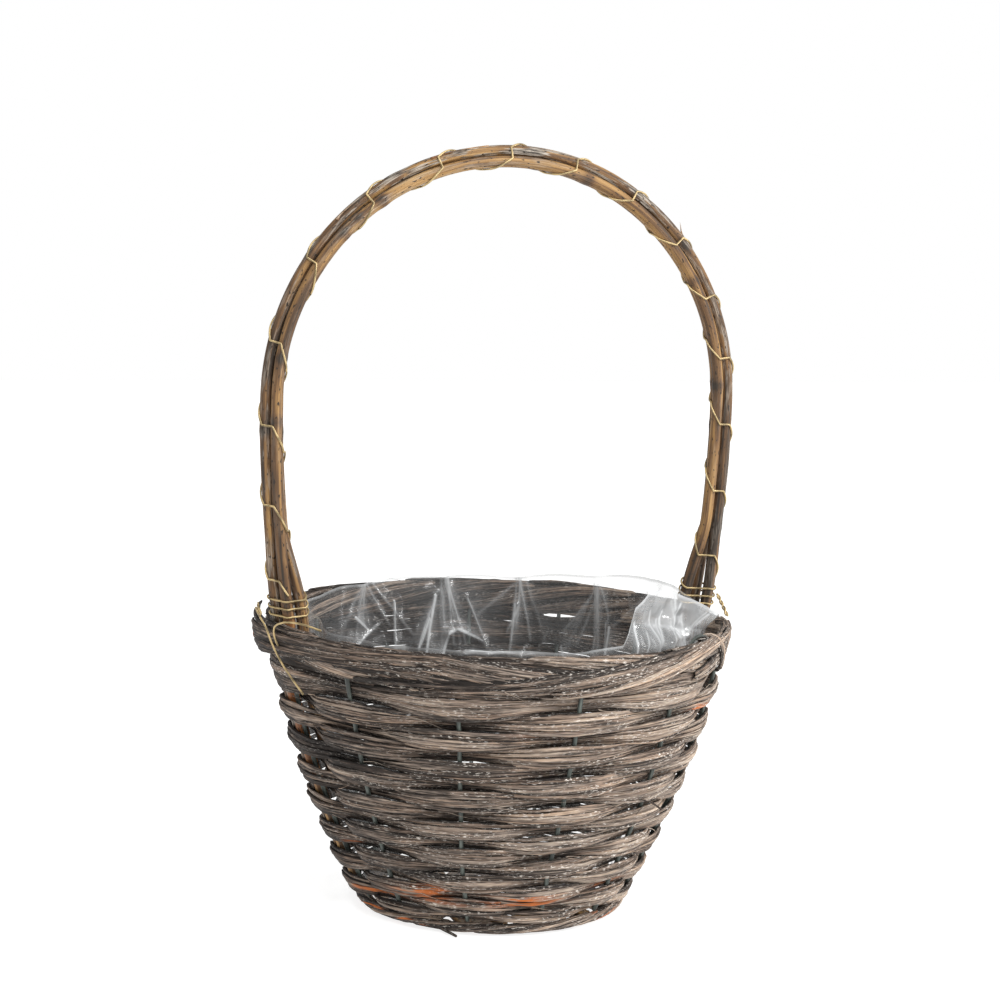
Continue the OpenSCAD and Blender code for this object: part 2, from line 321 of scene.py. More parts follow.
def add_tube(surface, rng, path, radius, sides=10, tone=(0.5, 0, 0), rough=0.0):
    """A round tube along a path, its section kept square to the Y axis or to Z."""
    along = unit(np.gradient(path, axis=0))
    ref = np.array([0.0, 1.0, 0.0]) if abs(along[0, 1]) < 0.9 else np.array([0.0, 0.0, 1.0])
    side = unit(ref - along * (along @ ref)[:, None])
    up = np.cross(along, side)
    p = TAU * np.arange(sides) / sides
    s = arc_length(path)
    r = np.broadcast_to(radius, (len(path),))[:, None] + (rough * wander(rng, s, 12, sides) if rough else 0)
    spoke = side[:, None] * np.cos(p)[:, None] - up[:, None] * np.sin(p)[:, None]
    rings = path[:, None] + spoke * r[..., None]
    offset = rng.uniform(0, 5000, 2)
    around = TAU * np.mean(radius) * np.arange(sides + 1) / sides
    uv = np.stack(np.broadcast_arrays(s[:, None] + offset[0], around + offset[1]), -1)
    surface.sweep(rings, uv, tone)


# ---------------------------------------------------------------- materials


def add(tree, kind, inputs=None, out=0, stops=(), **settings):
    """Adds a node with its settings, its ramp's colour stops, and its inputs, each a value or
    the socket to link. Returns its output socket number out."""
    node = tree.nodes.new(kind)
    for name, value in settings.items():
        setattr(node, name, value)
    for i, (place, shade) in enumerate(stops):
        elements = node.color_ramp.elements
        mark = elements[i] if i < 2 else elements.new(place)
        mark.position, mark.color = place, (*shade, 1)
    for name, value in (inputs or {}).items():
        socket = node.inputs[name]
        if isinstance(value, bpy.types.NodeSocket):
            tree.links.new(value, socket)
        else:
            socket.default_value = (*value, 1) if socket.type == "RGBA" and len(value) == 3 else value
    return node.outputs[out] if node.outputs else None


BLACK, WHITE = (0, 0, 0), (1, 1, 1)
NOISE, RAMP, MIX, MATH = "ShaderNodeTexNoise", "ShaderNodeValToRGB", "ShaderNodeMix", "ShaderNodeMath"
PRINCIPLED, BUMP = "ShaderNodeBsdfPrincipled", "ShaderNodeBump"
COLOUR = {"out": 2, "data_type": "RGBA"}


def grain(tree, along, across, detail=2.0):
    """Noise in the piece's own UV map, drawn out lengthwise. The sizes are its features' in mm."""
    uv = add(tree, "ShaderNodeUVMap", uv_map="grain")
    scaled = add(tree, "ShaderNodeMapping", {"Vector": uv, "Scale": (1000 / along, 1000 / across, 1)})
    return add(tree, NOISE, {"Vector": scaled, "Scale": 1.0, "Detail": detail, "Roughness": 0.58},
               noise_dimensions="2D")


def tone_part(tree, part):
    """One part of the piece's tone: 0 is lightness, which in bark holds painted shade and
    painted light, or milkiness in film, which holds painted highlights; 1 is bareness; 2 is
    fleckiness in bark, or greyness in willow."""
    tone = add(tree, "ShaderNodeAttribute", attribute_name="tone")
    return add(tree, "ShaderNodeSeparateColor", {"Color": tone}, out=part)


def makes_material(name):
    """Turns a function that adds a shader's nodes to a tree into one that gives the material
    of this name, made the first time it is asked for."""
    def decorate(add_shader):
        def give():
            if name not in bpy.data.materials:
                material = bpy.data.materials.new(name)
                material.use_nodes = True
                tree = material.node_tree
                tree.nodes.clear()
                add(tree, "ShaderNodeOutputMaterial", {"Surface": add_shader(tree)})
            return bpy.data.materials[name]
        return give
    return decorate


@makes_material("weathered_split_bark")
def weathered_bark(tree):
    """Split willow bark left outdoors: dull grey-brown skin, dark grooves between bleached
    fibres, pale scaly flecks, and orange inner bark where the skin is off. The real fibres are
    0.2 to 0.4 mm wide; they are drawn 0.6 to 0.9 mm wide so that they show at a distance."""
    # light carries the painted shade and painted light that the strips' tones hold
    light, bare, fleck = (tone_part(tree, part) for part in range(3))
    c = colours()
    fibre = grain(tree, 34, 0.62, 3)
    fine = grain(tree, 7, 0.4, 2)
    patch = grain(tree, 36, 4)
    both = add(tree, MIX, {0: 0.42, 2: fibre, 3: fine})
    value = add(tree, MATH, {0: patch, 1: 0.24, 2: both}, operation="MULTIPLY_ADD")
    value = add(tree, MATH, {0: light, 1: 0.5, 2: value}, operation="MULTIPLY_ADD")
    value = add(tree, MATH, {0: value, 1: 0.37}, operation="SUBTRACT")
    base = add(tree, RAMP, {0: value}, stops=(
        (0.24, linear("#1F1A17")), (0.36, tuple(c.bark_dark)), (0.50, tuple(c.bark_mid)),
        (0.66, tuple(c.bark_light)), (0.85, linear("#CFC5B8"))))
    warm = add(tree, RAMP, {0: grain(tree, 50, 2.2)}, stops=(
        (0.40, (0.5, 0.5, 0.52)), (0.72, (0.62, 0.48, 0.39))))
    base = add(tree, MIX, {0: 0.5, 6: base, 7: warm}, blend_type="OVERLAY", **COLOUR)
    torn = add(tree, RAMP, {0: grain(tree, 18, 1.6)}, stops=((0.44, BLACK), (0.56, WHITE)))
    shown = add(tree, MATH, {0: torn, 1: bare}, operation="MULTIPLY")
    base = add(tree, MIX, {0: shown, 6: base, 7: tuple(c.bark_bare)}, **COLOUR)
    groove = add(tree, RAMP, {0: grain(tree, 26, 0.7, 1)}, stops=((0.27, WHITE), (0.36, BLACK)))
    base = add(tree, MIX, {0: groove, 6: base, 7: linear("#2A241F")}, **COLOUR)
    speck = add(tree, RAMP, {0: grain(tree, 2.4, 0.5, 4)}, stops=((0.575, BLACK), (0.65, WHITE)))
    where = add(tree, RAMP, {0: grain(tree, 26, 6)}, stops=((0.40, BLACK), (0.60, WHITE)))
    speck = add(tree, MATH, {0: speck, 1: where}, operation="MULTIPLY")
    speck = add(tree, MATH, {0: speck, 1: fleck}, operation="MULTIPLY")
    base = add(tree, MIX, {0: speck, 6: base, 7: tuple(c.bark_fleck)}, **COLOUR)
    rough = add(tree, MATH, {0: both, 1: 0.3, 2: 0.62}, operation="MULTIPLY_ADD", use_clamp=True)
    bump = add(tree, BUMP, {"Strength": 1.0, "Distance": 0.0007, "Height": both})
    return add(tree, PRINCIPLED, {"Base Color": base, "Roughness": rough, "Normal": bump,
                                  "IOR": 1.46, "Specular IOR Level": 0.4})


@makes_material("peeled_willow")
def peeled_willow(tree):
    """Peeled willow rods: tan wood with brown streaks, scraps of grey bark, and a dull sheen."""
    light, bare, grey = (tone_part(tree, part) for part in range(3))
    c = colours()
    streak = grain(tree, 70, 2.0, 3)
    patch = grain(tree, 40, 6)
    fine = grain(tree, 9, 0.6)
    value = add(tree, MIX, {0: 0.4, 2: streak, 3: patch})
    value = add(tree, MATH, {0: light, 1: 0.45, 2: value}, operation="MULTIPLY_ADD")
    value = add(tree, MATH, {0: value, 1: 0.225}, operation="SUBTRACT")
    base = add(tree, RAMP, {0: value}, stops=(
        (0.24, linear("#30261C")), (0.40, tuple(c.rod_brown)), (0.55, tuple(c.rod_tan)),
        (0.80, linear("#C2A67E"))))
    torn = add(tree, MATH, {0: bare, 1: 0.75}, operation="MULTIPLY")
    base = add(tree, MIX, {0: torn, 6: base, 7: linear("#B5692F")}, **COLOUR)
    scraps = add(tree, RAMP, {0: grain(tree, 20, 2.4, 3)}, stops=((0.47, BLACK), (0.55, WHITE)))
    scraps = add(tree, MATH, {0: scraps, 1: grey}, operation="MULTIPLY")
    skin = add(tree, RAMP, {0: fine}, stops=(
        (0.38, linear("#3B352F")), (0.50, linear("#7A7166")), (0.64, linear("#B4AA9D"))))
    base = add(tree, MIX, {0: scraps, 6: base, 7: skin}, **COLOUR)
    knots = add(tree, RAMP, {0: grain(tree, 3.2, 1.2, 1)}, stops=((0.68, BLACK), (0.74, WHITE)))
    base = add(tree, MIX, {0: knots, 6: base, 7: linear("#2C2219")}, **COLOUR)
    height = add(tree, MATH, {0: fine, 1: 0.4, 2: streak}, operation="MULTIPLY_ADD")
    bump = add(tree, BUMP, {"Strength": 0.7, "Distance": 0.0004, "Height": height})
    rough = add(tree, MATH, {0: patch, 1: 0.3, 2: 0.45}, operation="MULTIPLY_ADD", use_clamp=True)
    return add(tree, PRINCIPLED, {"Base Color": base, "Roughness": rough, "Normal": bump,
                                  "IOR": 1.5, "Specular IOR Level": 0.45})


@makes_material("drawn_brass_wire")
def brass_wire(tree):
    """Thin drawn brass-coloured wire, a little tarnished and dull."""
    gold = tuple(colours().wire_gold)
    dull = grain(tree, 6, 1.2)
    base = add(tree, RAMP, {0: dull}, stops=((0.38, tuple(0.4 * x for x in gold)), (0.55, gold)))
    rough = add(tree, MATH, {0: dull, 1: 0.25, 2: 0.3}, operation="MULTIPLY_ADD")
    return add(tree, PRINCIPLED, {"Base Color": base, "Roughness": rough, "Metallic": 0.35})


@makes_material("lacquered_wire")
def lacquered_wire(tree):
    """Florist's wire with a dull slate-green lacquer, worn paler in places."""
    slate = tuple(colours().upright_slate)
    worn = grain(tree, 8, 1.5, 3)
    base = add(tree, RAMP, {0: worn}, stops=(
        (0.35, tuple(0.4 * x for x in slate)), (0.55, slate), (0.75, tuple(1.8 * x for x in slate))))
    rough = add(tree, MATH, {0: worn, 1: 0.3, 2: 0.4}, operation="MULTIPLY_ADD")
    return add(tree, PRINCIPLED, {"Base Color": base, "Roughness": rough})


@makes_material("clear_polythene_film")
def polythene_film(tree):
    """Clear blown polythene film: nearly invisible face on, with mirror-like highlights, and
    milky where it is creased or folded over itself, with a painted highlight line along the
    top of each crease; the piece's tone gives both."""
    milk_and_highlight = tone_part(tree, 0)
    uv = add(tree, "ShaderNodeUVMap", uv_map="grain")
    wrinkle = add(tree, NOISE, {"Vector": uv, "Scale": 60.0, "Detail": 4.0, "Roughness": 0.5})
    bump = add(tree, BUMP, {"Strength": 0.3, "Distance": 0.002, "Height": wrinkle})
    # Schlick's rule: the sheet is thin, so both its faces reflect alike
    slant = add(tree, "ShaderNodeLayerWeight", {"Blend": 0.5, "Normal": bump}, out=1)
    edge = add(tree, MATH, {0: slant, 1: 4.0}, operation="POWER")
    alpha = add(tree, MATH, {0: edge, 1: 0.5, 2: milk_and_highlight}, operation="MULTIPLY_ADD", use_clamp=True)
    clear = add(tree, "ShaderNodeBsdfTransparent", {"Color": WHITE})
    shader = add(tree, PRINCIPLED, {"Base Color": linear("#C2C4C5"), "Roughness": 0.14, "IOR": 1.5,
                                    "Specular IOR Level": 1.0, "Normal": bump})
    return add(tree, "ShaderNodeMixShader", {0: alpha, 1: clear, 2: shader})


# ---------------------------------------------------------------- weave


def outward(a, z):
    """Outward normal of the wall at angle a and height z."""
    slope = (wall_r(z + 1) - wall_r(z - 1)) / 2
    return unit(ring_points(a, 1.0, -slope))


# Patches of orange inner bark: angle, height, and how far they reach along and up the wall
BARE_SPOTS = ((224, 19, 9, 3), (229, 23, 5, 2), (263, 18, 12, 2.5), (268, 101, 9, 0.8), (300, 22, 8, 1.6),
              (318, 104, 5, 1.4), (338, 96, 4, 1.2), (345, 24, 6, 2), (62, 30, 8, 2))


def bark_tone(rng, a, z):
    """Tone of a strip: painted light makes it lighter on the right (+X), towards the lamps, and
    darker on the left (-X); it is more flecked on the right, with the orange inner bark
    mostly low on the wall."""
    x = a * WALL_ARC
    # The cosine term is painted light, lighter towards the lamps on the right; the rest varies at random
    light = 0.42 + 0.17 * np.cos(a + 0.5) + 0.07 * wander(rng, x, 40)[:, 0] + rng.normal(0, 0.08)
    fleck = np.clip(0.52 + 0.43 * np.cos(a + 0.7) + 0.25 * wander(rng, x, 60)[:, 0], 0, 1)
    low = 1.35 + 1.3 * ease(z, 10, 60)
    bare = np.clip(1.3 * (wander(rng, x, 34)[:, 0] + rng.normal(0, 0.4) - low), 0, 1)
    for at, height, wide, high in BARE_SPOTS:
        bare += 1.3 * np.exp(-((np.degrees(np.mod(a, TAU)) - at) / wide) ** 2 - ((z - height) / high) ** 2)
    return np.stack([light, bare, fleck], -1)[:, None]


def weave_row(k):
    """One turn of the wall's bark: four or five thin strips side by side. The path follows
    the uprights: radius = mid_r(z) + swing(t), and z climbs by one row in a turn. The band
    is widest where it passes outside an upright and narrowest where it passes inside one."""
    rng = np.random.default_rng(100 + k)
    surface = Surface()
    first = (k - 1) * BAYS + 0.5
    t = np.linspace(first - 0.1, first + BAYS + 0.1, BAYS * 28)
    a = upright_angle(t)
    c = np.cos(np.pi * t)
    x = np.unwrap(a) * WALL_ARC
    low = seam(t - BAYS)
    high = seam(t) if k < ROWS else seam(np.full_like(t, ROWS * BAYS)) + 2.5
    middle = (low + high) / 2 + 0.35 * wander(rng, x, 50)[:, 0]
    half = (high - low) / 2 * (1.06 + 0.29 * c + 0.05 * wander(rng, x, 25)[:, 0])
    count = 4 if k < 9 else 5
    parts = np.cumsum(np.concatenate([[0], rng.uniform(0.6, 1.4, count)]))
    parts = 2 * parts / parts[-1] - 1
    for s in range(count):
        centre, share = (parts[s] + parts[s + 1]) / 2, (parts[s + 1] - parts[s]) / 2
        z = middle + centre * half + 0.25 * wander(rng, x, 28)[:, 0]
        depth = 0.15 * (-1) ** s + 0.14 * wander(rng, x, 24)[:, 0] + 0.5 - 1.9 * centre ** 2
        path = ring_points(a, mid_r(z) + swing(t) + depth, z)
        half_w = half * share * 1.12 * (1 + 0.08 * wander(rng, x, 22)[:, 0])
        tone = bark_tone(rng, a, z)
        # Painted shade: each strip is darker towards the band's top and bottom edges, so the band reads as
        # rounded, and darker where it passes inside an upright
        tone[:, 0, 0] += 0.03 - 0.20 * centre ** 2 - 0.12 * ease(-c, 0.2, 1)
        add_strip(surface, rng, path, outward(a, z), half_w, 0.6, tone)
    return surface.piece(f"bark_row_{k:02d}", weathered_bark(), f"weave_row_{k}", slot="bark")


class BASKET_OT_weave(bpy.types.Operator):
    """Make the woven bark rows of the wall"""

    bl_idname = "basket.weave"
    bl_label = "Weave the wall"

    def execute(self, context):
        for k in range(1, ROWS + 1):
            weave_row(k)
        return {"FINISHED"}


# Cut ends that stick out of the weave: points of angle, radius and height, and the radius
TWIG_ENDS = ((((226, 60, 2.6), (231, 63, 1.8), (237, 68, 1.1)), 0.9),
             (((296, 90, 66), (299, 94, 64), (301, 97, 61)), 0.5),
             (((352, 74, 27), (350, 78, 30), (348, 81, 36)), 0.6),
             (((100, 84, 50), (103, 88, 47), (105, 91, 46)), 0.6))


class BASKET_OT_fibres(bpy.types.Operator):
    """Make the loose fibres that lift off the bark"""

    bl_idname = "basket.fibres"
    bl_label = "Lift loose fibres"

    def execute(self, context):
        rng = np.random.default_rng(21)
        surface = Surface()
        top = mm("basket_height")
        for _ in range(170):
            z0, long = rng.uniform(3, top - 2), rng.uniform(8, 26)
            u = np.linspace(0, 1, 16)
            z = z0 + rng.normal(0, 2.5) * u + 1.2 * np.sin(3 * u + rng.uniform(0, 6))
            a = rng.uniform(0, TAU) + long * u / mid_r(z0)
            rise = 2.6 + 0.8 * wander(rng, 16 * u, 6)[:, 0] + rng.uniform(0, 2.2) * u ** 3
            path = ring_points(a, np.minimum(mid_r(z) + rise, mm("rim_radius")), z)
            add_tube(surface, rng, path, 0.16 * (1.15 - u), 4, (rng.uniform(0.2, 0.9), 0, 0.3))
        for points, thick in TWIG_ENDS:
            q = np.array(points, float)
            path = spline(ring_points(np.radians(q[:, 0]), q[:, 1], q[:, 2]), 24)
            add_tube(surface, rng, path, thick * np.linspace(1, 0.7, 24), 8, (0.2, 0, 0.3), rough=0.08)
        surface.piece("loose_fibres", weathered_bark(), slot="bark")
        return {"FINISHED"}


def ellipse_ring(mid_z, half_z, half_r, shift=0.0):
    """The surface of a ring with an elliptical section that stands in the wall."""
    def ring(a, p):
        z = mid_z + half_z * np.sin(p)
        point = ring_points(a, mid_r(z) + shift + half_r * np.cos(p), z)
        return point, unit(ring_points(a, np.cos(p) / half_r, np.sin(p) / half_z))
    return ring


def add_core(surface, ring, n=240, m=16):
    """The ring itself, as a closed core that the strands lie on; its dark tone is painted shade where it
    shows between them.
    """
    a, p = np.meshgrid(TAU * np.arange(n) / n, TAU * np.arange(m) / m, indexing="ij")
    point, out = ring(a, p)
    uv = np.stack(np.meshgrid(np.arange(n) * 3.0, np.arange(m + 1) * 2.0, indexing="ij"), -1)
    # The low lightness 0.24 is painted shade in the gaps between the strands
    surface.sweep(point - 0.5 * out, uv, (0.24, 0, 0.2), loop=True)


def add_bundle(surface, rng, ring, start, end, low, high, lift, strands=5, spread=70, ends=2.5):
    """A flat bundle of strands on a ring. Its middle goes from angle start to end round the
    basket while it winds from low to high round the ring's section, eased at both ends; lift
    is its height off the ring at its start and its end. Angles are in degrees."""
    u = np.linspace(0, 1, max(int(abs(end - start) * 1.15), 12))
    cast = rng.normal(0.01, 0.09)
    step = np.radians(spread) / strands * (1 + 0.5 * np.exp(-u * abs(end - start) / 8) * (ends < 1))
    for i in range(strands):
        slip = rng.uniform(-0.05, 0.05, 2)
        a = np.radians(start + (end - start) * (slip[0] + (1 + slip[1] - slip[0]) * u))
        p = np.radians(low + (high - low) * ease(u, -0.1, 1.1)) + (i - (strands - 1) / 2) * step
        p += step * 0.35 * wander(rng, BUNDLE_RUN * u, 30)[:, 0]
        point, out = ring(a, p)
        edge = ring(a, p + step / 2)[0] - ring(a, p - step / 2)[0]
        off = lift[0] + (lift[1] - lift[0]) * ease(u, 0, 0.5) + 0.12 * wander(rng, BUNDLE_RUN * u, 25)[:, 0]
        half_w = np.linalg.norm(edge, axis=1) * 0.56 + 0.3
        tone = bark_tone(rng, a, point[:, 2])
        outer = 2 * i / (strands - 1) - 1
        # cast is the bundle's own random tone; the outer strands are darker, painted shade at the bundle's
        # edges, and edge=0.24 darkens each strand's edges, painted shade between strands
        tone[:, 0, 0] += cast - 0.22 * outer ** 4
        off = off + 0.15 * (-1) ** i - 0.8 * outer ** 4
        add_strip(surface, rng, point + out * off[:, None], out, half_w, 0.55, tone, ends=ends, edge=0.24)


# The bundles that show most on the rim's front: start, end, low, high, lift, strands, spread
FRONT_BUNDLES = ((190, 300, 62, -88, (0.3, 0.5), 6, 84),
                 (165, 236, 0, 34, (7.0, 0.8), 9, 100, 0.3),
                 (218, 336, -84, 74, (1.5, 1.9), 6, 76),
                 (300, 374, -70, 46, (0.4, 0.6), 5, 66),
                 (262, 320, -92, 62, (2.4, 2.8), 5, 52),
                 (306, 344, -66, 112, (2.4, 1.4), 5, 60),
                 (309, 326, 118, -90, (2.2, 2.8), 4, 40))


class BASKET_OT_border(bpy.types.Operator):
    """Make the rim border and the foot border from winding bark strands"""

    bl_idname = "basket.border"
    bl_label = "Bind the borders"

    def execute(self, context):
        rng = np.random.default_rng(7)
        top, height = mm("basket_height"), mm("border_height")
        ring = ellipse_ring(top - height / 2 - 0.2, height / 2 - 1.2, 2.3)
        inner = Surface()
        add_core(inner, ring)
        for start in range(0, 360, 30):
            add_bundle(inner, rng, ring, start, start + 64, 115, 235, (0.3, 0.3), 4, 62)
        inner.piece("rim_border_inner", weathered_bark(), "rim_inner_band_front",
                    "rim_inner_band_back", slot="bark")
        under = Surface()
        for start in range(6, 360, 36):
            add_bundle(under, rng, ring, start, start + 74, 75, -70, (0.2, 0.2), 5, 66)
        under.piece("rim_border_under", weathered_bark(), "rim_roll_front", "rim_roll_back", slot="bark")
        over = Surface()
        for start in (-14, 22, 58, 94, 128):
            add_bundle(over, rng, ring, start, start + 72, -78, 78, (0.9, 0.9), 5, 70)
        for bundle in FRONT_BUNDLES:
            add_bundle(over, rng, ring, *bundle)
        over.piece("rim_border_over", weathered_bark(), "rim_outer_band", slot="bark")
        foot = Surface()
        ring = ellipse_ring(FOOT_H / 2 + 0.1, FOOT_H / 2 - 1.3, 3.4, -0.9)
        add_core(foot, ring)
        for start in range(0, 360, 24):
            add_bundle(foot, rng, ring, start, start + 62, -75, 80, (0.35, 0.35), 3, 62)
        foot.piece("foot_border_strands", weathered_bark(), "foot_border", slot="bark")
        return {"FINISHED"}


# Where an upright's end is bent over the rim: its angle and how far it leans, in degrees
BENT_ENDS = ((307, 6), (150, -4))


class BASKET_OT_uprights(bpy.types.Operator):
    """Make the thin wire uprights, some of them bent over at the rim"""

    bl_idname = "basket.uprights"
    bl_label = "Set the uprights"

    def execute(self, context):
        rng = np.random.default_rng(11)
        surface = Surface()
        top, r = mm("basket_height"), mm("upright_thickness") / 2 - 0.1
        z = np.linspace(FOOT_H + GAP, top - 2.5, 40)
        beside = mm("rod_thickness") + mm("upright_thickness") / 2 + 2 * GAP
        for s in range(BAYS):
            shift = np.arcsin(beside / mid_r(z)) if s in (0, BACK_BAYS) else 0 * z
            a = upright_angle(float(s)) + shift + 0.35 * wander(rng, z, 30)[:, 0] / mid_r(z)
            add_tube(surface, rng, ring_points(a, mid_r(z), z), r, 10)
        for place, lean in BENT_ENDS:
            a = np.radians(place + lean * np.array([0, 0.25, 1.0, 1.6, 1.7]))
            out = np.array([-4.5, -2.5, 0.8, 1.4, 0.6])
            up = np.array([-3, 0.8, -1.5, -8, -14])
            add_tube(surface, rng, spline(ring_points(a, mid_r(top) + out, top + up), 40), r * 0.8, 8)
        surface.piece("wire_uprights", lacquered_wire(), "stakes", slot="stake_wire")
        return {"FINISHED"}


# ---------------------------------------------------------------- handle


def leg_x(z):
    """Distance of the bundle's middle from the Z axis: it follows the wall, then leans out."""
    top, arch_r, arch_z = mm("basket_height"), arch_radius(), arch_height()
    in_wall = mid_r(z) - RIM_INSET * ease(z, top - mm("border_height"), top)
    free = arch_r - (arch_r - (mid_r(top) - RIM_INSET)) * ((arch_z - z) / (arch_z - top)) ** 2
    return np.where(z < top, in_wall, free)


def bundle_radius():
    """Distance from the bundle's middle to each of three touching rods."""
    return (mm("rod_thickness") + GAP) / np.sqrt(3)


def arch_radius():
    return mid_r(mm("basket_height")) - RIM_INSET + mm("handle_flare")


def arch_height():
    return mm("total_height") - bundle_radius() - mm("rod_thickness") / 2 - arch_radius()


def handle_stations(low_left, low_right, n):
    """Places along the handle: side, height on a leg, turn on the arch, and share s of the
    whole from rim to rim, and distance d from the left rim. A leg has turn = 0 or pi."""
    top, r, h = mm("basket_height"), arch_radius(), arch_height()
    whole = 2 * (h - top) + np.pi * r
    d = np.linspace(low_left - top, whole + (top - low_right), n)
    left, right = d < h - top, d > whole - (h - top)
    turn = np.clip((d - (h - top)) / r, 0, np.pi)
    z = np.where(left, top + d, np.where(right, top + whole - d, h))
    return np.where(d < whole / 2, -1, 1), z, turn, np.clip(d / whole, 0, 1), d


def handle_points(offset_out, offset_y, side, z, turn):
    """Points at an offset from the bundle's middle, outward and along Y."""
    r, h = arch_radius(), arch_height()
    on_leg = (turn <= 0) | (turn >= np.pi)
    x = np.where(on_leg, side * (leg_x(z) + offset_out), -(r + offset_out) * np.cos(turn))
    return np.stack([x, offset_y + 0 * x, np.where(on_leg, z, h + (r + offset_out) * np.sin(turn))], -1)


def rod_offsets(rod, side, z, s):
    """Outward and Y offsets of a rod: bundled over the arch, spread at the rim, and side by
    side in the wall."""
    rod_r, top = mm("rod_thickness") / 2, mm("basket_height")
    pair, splay = rod_r + GAP / 2, mm("rod_thickness") * 1.25
    inside = 2 * rod_r + mm("strip_thickness") + 5 * GAP
    wall = np.array([[[0, -pair], [0, pair], [-inside, 0]], [[-inside, 0], [0, -pair], [0, pair]]])
    rim = np.array([[[0, -splay / 2], [splay / 2, splay / 2], [-splay, -splay / 5]],
                    [[-splay, 0], [splay / 2, -splay / 2], [0, splay / 2]]])
    leg = np.where(side < 0, 0, 1)
    p = np.radians([-90, 30, 150][rod] - 60 * s)
    free = bundle_radius() * np.stack([np.cos(p), np.sin(p)], -1)
    spread = (1 - ease(z, top + 6, top + 45))[:, None]
    sunk = (1 - ease(z, top - mm("border_height"), top + 2))[:, None]
    held = rim[leg, rod] * (1 - sunk) + wall[leg, rod] * sunk
    both = free * (1 - spread) + held * spread
    return both[:, 0], both[:, 1]


ROD_NAMES = ("front", "outer", "inner")
ROD_LOW = ((18, 60), (24, 20), (60, 28))
ROD_LIGHT = (0.24, 0.12, 0.22)
ROD_GREY = (0.18, 0.65, 0.40)


def handle_rod(rod):
    """One rod, bent over the arch: a tube whose radius swells at knots and wanders a little.
    The outer rod keeps the most of its grey bark, and all keep more of it over the arch."""
    rng = np.random.default_rng(40 + rod)
    side, z, turn, s, d = handle_stations(*ROD_LOW[rod], n=520)
    out, y = rod_offsets(rod, side, z, s)
    path = handle_points(out, y, side, z, turn)
    radius = mm("rod_thickness") / 2 * (1 + 0.03 * wander(rng, d, 40)[:, 0])
    light = ROD_LIGHT[rod] + 0.10 * wander(rng, d, 60)[:, 0] + 0.20 * np.sin(np.pi * s) ** 2
    for place in rng.uniform(0, d.max(), 9):
        bump = np.exp(-((d - place) / 2.6) ** 2)
        radius += 0.25 * bump
        light -= 0.3 * bump
    bare = np.clip(0.8 * wander(rng, d, 50)[:, 0] - 0.75, 0, 1)
    if rod == 2:
        bare += np.exp(-((s - 0.25) / 0.035) ** 2)
    grey = ROD_GREY[rod] * (0.75 + 0.5 * wander(rng, d, 45)[:, 0])
    grey = np.clip(grey + 0.3 * np.exp(-((s - 0.42) / 0.1) ** 2), 0, 1)
    surface = Surface()
    add_tube(surface, rng, path, radius, 24, np.stack([light, bare, grey], -1)[:, None], rough=0.05)
    return surface.piece(f"willow_rod_{ROD_NAMES[rod]}", peeled_willow(), f"handle_rod_{ROD_NAMES[rod]}",
                         slot="willow")


# Splinters on the arch: the turn where each starts, its length and how far its tip lifts
SPLINTERS = ((84, -14, 0.5), (140, -9, 3.0), (44, 9, 0.8), (70, 12, 0.4))


class BASKET_OT_rods(bpy.types.Operator):
    """Make the three rods of the handle, and the splinters on the arch"""

    bl_idname = "basket.rods"
    bl_label = "Bend the rods"

    def execute(self, context):
        for rod in range(3):
            handle_rod(rod)
        rng = np.random.default_rng(44)
        surface = Surface()
        u = np.linspace(0, 1, 12)
        for turn, long, rise in SPLINTERS:
            t = np.radians(turn) + long * u / arch_radius()
            reach = arch_radius() + bundle_radius() + mm("rod_thickness") / 2 + rise * u ** 2 - 0.6
            path = np.stack([-reach * np.cos(t), 0.8 * np.sin(5 * u) - 1.5,
                             arch_height() + reach * np.sin(t)], -1)
            add_tube(surface, rng, path, 0.7 * (1.05 - u), 6, (0.45, 0.2, 0.6))
        surface.piece("rod_splinters", peeled_willow(), slot="willow")
        return {"FINISHED"}


def hull_offsets(p, side, z, s, lift):
    """Offsets of a wire pulled tight round the rods: the support point in direction p of the
    circles' convex hull, lift away from it."""
    reach = mm("rod_thickness") / 2 + lift
    centres = np.stack([np.stack(rod_offsets(rod, side, z, s), -1) for rod in range(3)])
    normal = np.stack([np.cos(p), np.sin(p)], -1)
    best = np.argmax((centres * normal).sum(-1), 0)
    at = centres[best, np.arange(len(p))]
    return at[:, 0] + reach * normal[:, 0], at[:, 1] + reach * normal[:, 1]


def rim_route(*points):
    """A smooth route near the rim through given points of (angle in degrees, distance out from the
    border, height over the rim)."""
    q = np.array(points, float)
    a, r, z = np.radians(q[:, 0]), mm("rim_radius") + q[:, 1], mm("basket_height") + q[:, 2]
    return spline(ring_points(a, r, z), 90)


def tie_ends(sign):
    """The tie's loose ends: on the left a long end and a loop over the border, on the right a
    short end twisted twice round its mate."""
    if sign < 0:
        return [rim_route((176, 4.5, 7), (179, 5.5, 3), (183, 4.5, -2), (187, 3.5, -10), (191, 1.5, -18),
                          (197.5, -1.0, -28)),
                rim_route((187, -5, -15), (186.5, 1.8, -8), (187, 3.4, -1), (190, 2.2, 2.2), (195, -3, 2.6),
                          (199, -8, 0.5)),
                rim_route((178, 5.5, 6), (180, 6.6, 7), (181, 5.6, 4), (178.6, 5.4, 2.6), (177.6, 6.2, 5),
                          (180.4, 6.8, 4.6))]
    u = np.linspace(0, 1, 90)
    ends = []
    for start in (0, np.pi):
        p = 2 * TAU * u + start
        a = np.radians(-1 - 5 * u) + 0.0055 * np.cos(p)
        ends.append(ring_points(a, mm("rim_radius") + 3 + 1.5 * u + 0.55 * np.sin(p),
                                mm("basket_height") + 6 - 9 * u))
    return ends


